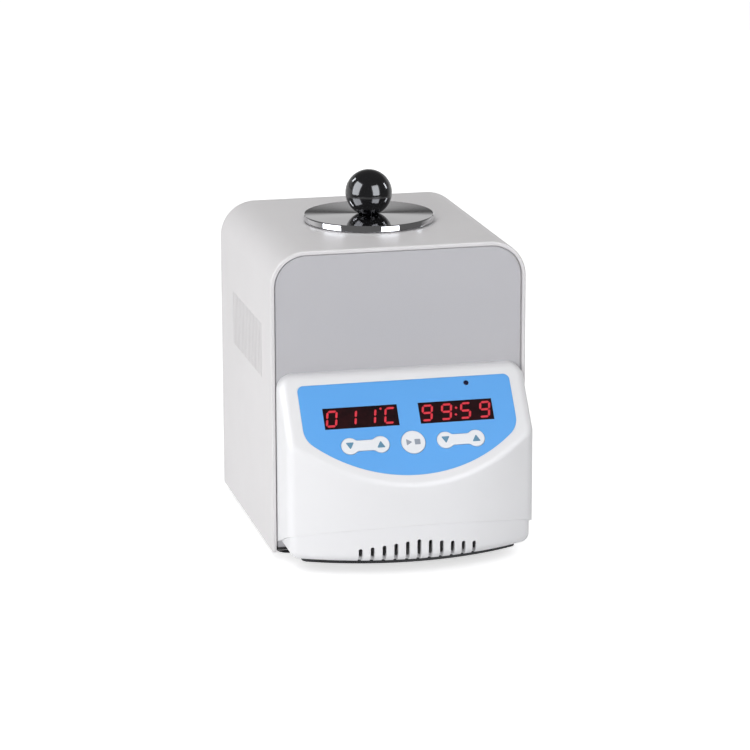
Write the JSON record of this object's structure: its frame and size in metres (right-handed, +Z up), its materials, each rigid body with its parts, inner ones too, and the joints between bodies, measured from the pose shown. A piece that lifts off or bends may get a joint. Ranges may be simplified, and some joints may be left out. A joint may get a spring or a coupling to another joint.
{
  "type": "glass bead sterilizer",
  "caption": "Bench sterilizer: light grey cover, bulging console with blue facet, red displays and keys, polished lid with black ball knob over a heated well of glass beads.",
  "frame": {"origin": "centre of the bounding box at the level of the feet's treads", "axes": "+X to the right seen from the front, +Y to the rear, where the mains inlet is, +Z up"},
  "size_m": [0.165, 0.224, 0.2324],
  "materials": {
    "cover_paint": "satin powder coat",
    "panel_paint": "satin powder coat",
    "pan_paint": "matt black",
    "console_plastic": "fine moulded grain",
    "overlay_film": "smooth film",
    "display_face": "dark red filter",
    "digit_light": "lit segments",
    "lamp_lens": "clear",
    "key_plastic": "smooth",
    "board_laminate": "lacquered",
    "component_black": "moulded",
    "polished_steel": "mirror polish",
    "steel": "brushed",
    "bead_glass": "clear beads",
    "fibre": "mineral fibre",
    "zinc_sheet": "zinc plated",
    "knob_plastic": "high gloss",
    "fastener_steel": "nickel plated",
    "core_steel": "varnished laminations",
    "relay_case": "smooth",
    "capacitor_can": "sleeved",
    "terminal_green": "moulded",
    "inlet_plastic": "fine grain",
    "fuse_glass": "clear with metal caps",
    "foot_rubber": "matt"
  },
  "bodies": {
    "housing": {"cover": "cover_paint", "front_panel": "panel_paint", "rear_panel": "panel_paint", "base_pan": "pan_paint", "console": "console_plastic", "overlay": "overlay_film", "temperature_display": "display_face", "time_display": "display_face", "temperature_digits": "digit_light", "time_digits": "digit_light", "status_lamp": "lamp_lens", "control_board": "board_laminate", "tact_switches": "component_black", "controller_chip": "component_black", "board_connector": "key_plastic", "buzzer": "component_black", "top_ring": "steel", "crucible": "steel", "glass_beads": "bead_glass", "band_heater": "steel", "clamp_bolt": "fastener_steel", "insulation_sleeve": "fibre", "heat_shield": "zinc_sheet", "temperature_probe": "steel", "support_bracket": "zinc_sheet", "thermal_cutout": "component_black", "lid": "polished_steel", "ball_knob": "knob_plastic", "knob_screw": "fastener_steel", "power_board": "board_laminate", "board_standoffs": "fastener_steel", "transformer": "core_steel", "relay": "relay_case", "capacitor": "capacitor_can", "terminal_block": "terminal_green", "power_inlet": "inlet_plastic", "inlet_pins": "fastener_steel", "base_screws": "fastener_steel", "foot_screws": "fastener_steel", "rear_screws": "fastener_steel", "console_screws": "fastener_steel", "bracket_screws": "fastener_steel", "board_screws": "fastener_steel", "front_left_foot": "foot_rubber", "front_right_foot": "foot_rubber", "rear_left_foot": "foot_rubber", "rear_right_foot": "foot_rubber"},
    "power_rocker": {"power_rocker": "inlet_plastic"},
    "fuse_drawer": {"fuse_drawer": "inlet_plastic", "fuses": "fuse_glass"},
    "start_stop_key": {"start_stop_key": "key_plastic"},
    "temperature_key": {"temperature_key": "key_plastic"},
    "time_key": {"time_key": "key_plastic"}
  },
  "joints": [
    {"name": "power_rocker_hinge", "type": "hinge", "parent": "housing", "child": "power_rocker", "pos_m": [-0.044, 0.10549, 0.0645], "axis": [0, 0, 1], "range_deg": [-20, 0]},
    {"name": "fuse_drawer_slide", "type": "slide", "parent": "housing", "child": "fuse_drawer", "axis": [0, 1, 0], "range_m": [0, 0.022]},
    {"name": "start_stop_key_slide", "type": "slide", "parent": "housing", "child": "start_stop_key", "axis": [0, 0.788, -0.6157], "range_m": [0, 0.0004], "stiffness_N_per_m": 3000},
    {"name": "temperature_key_hinge", "type": "hinge", "parent": "housing", "child": "temperature_key", "pos_m": [-0.0306, -0.09148, 0.07977], "axis": [0, 0.6157, 0.788], "range_deg": [-2, 2], "stiffness_Nm_per_rad": 0.4},
    {"name": "time_key_hinge", "type": "hinge", "parent": "housing", "child": "time_key", "pos_m": [0.0306, -0.09148, 0.07977], "axis": [0, 0.6157, 0.788], "range_deg": [-2, 2], "stiffness_Nm_per_rad": 0.4}
  ]
}
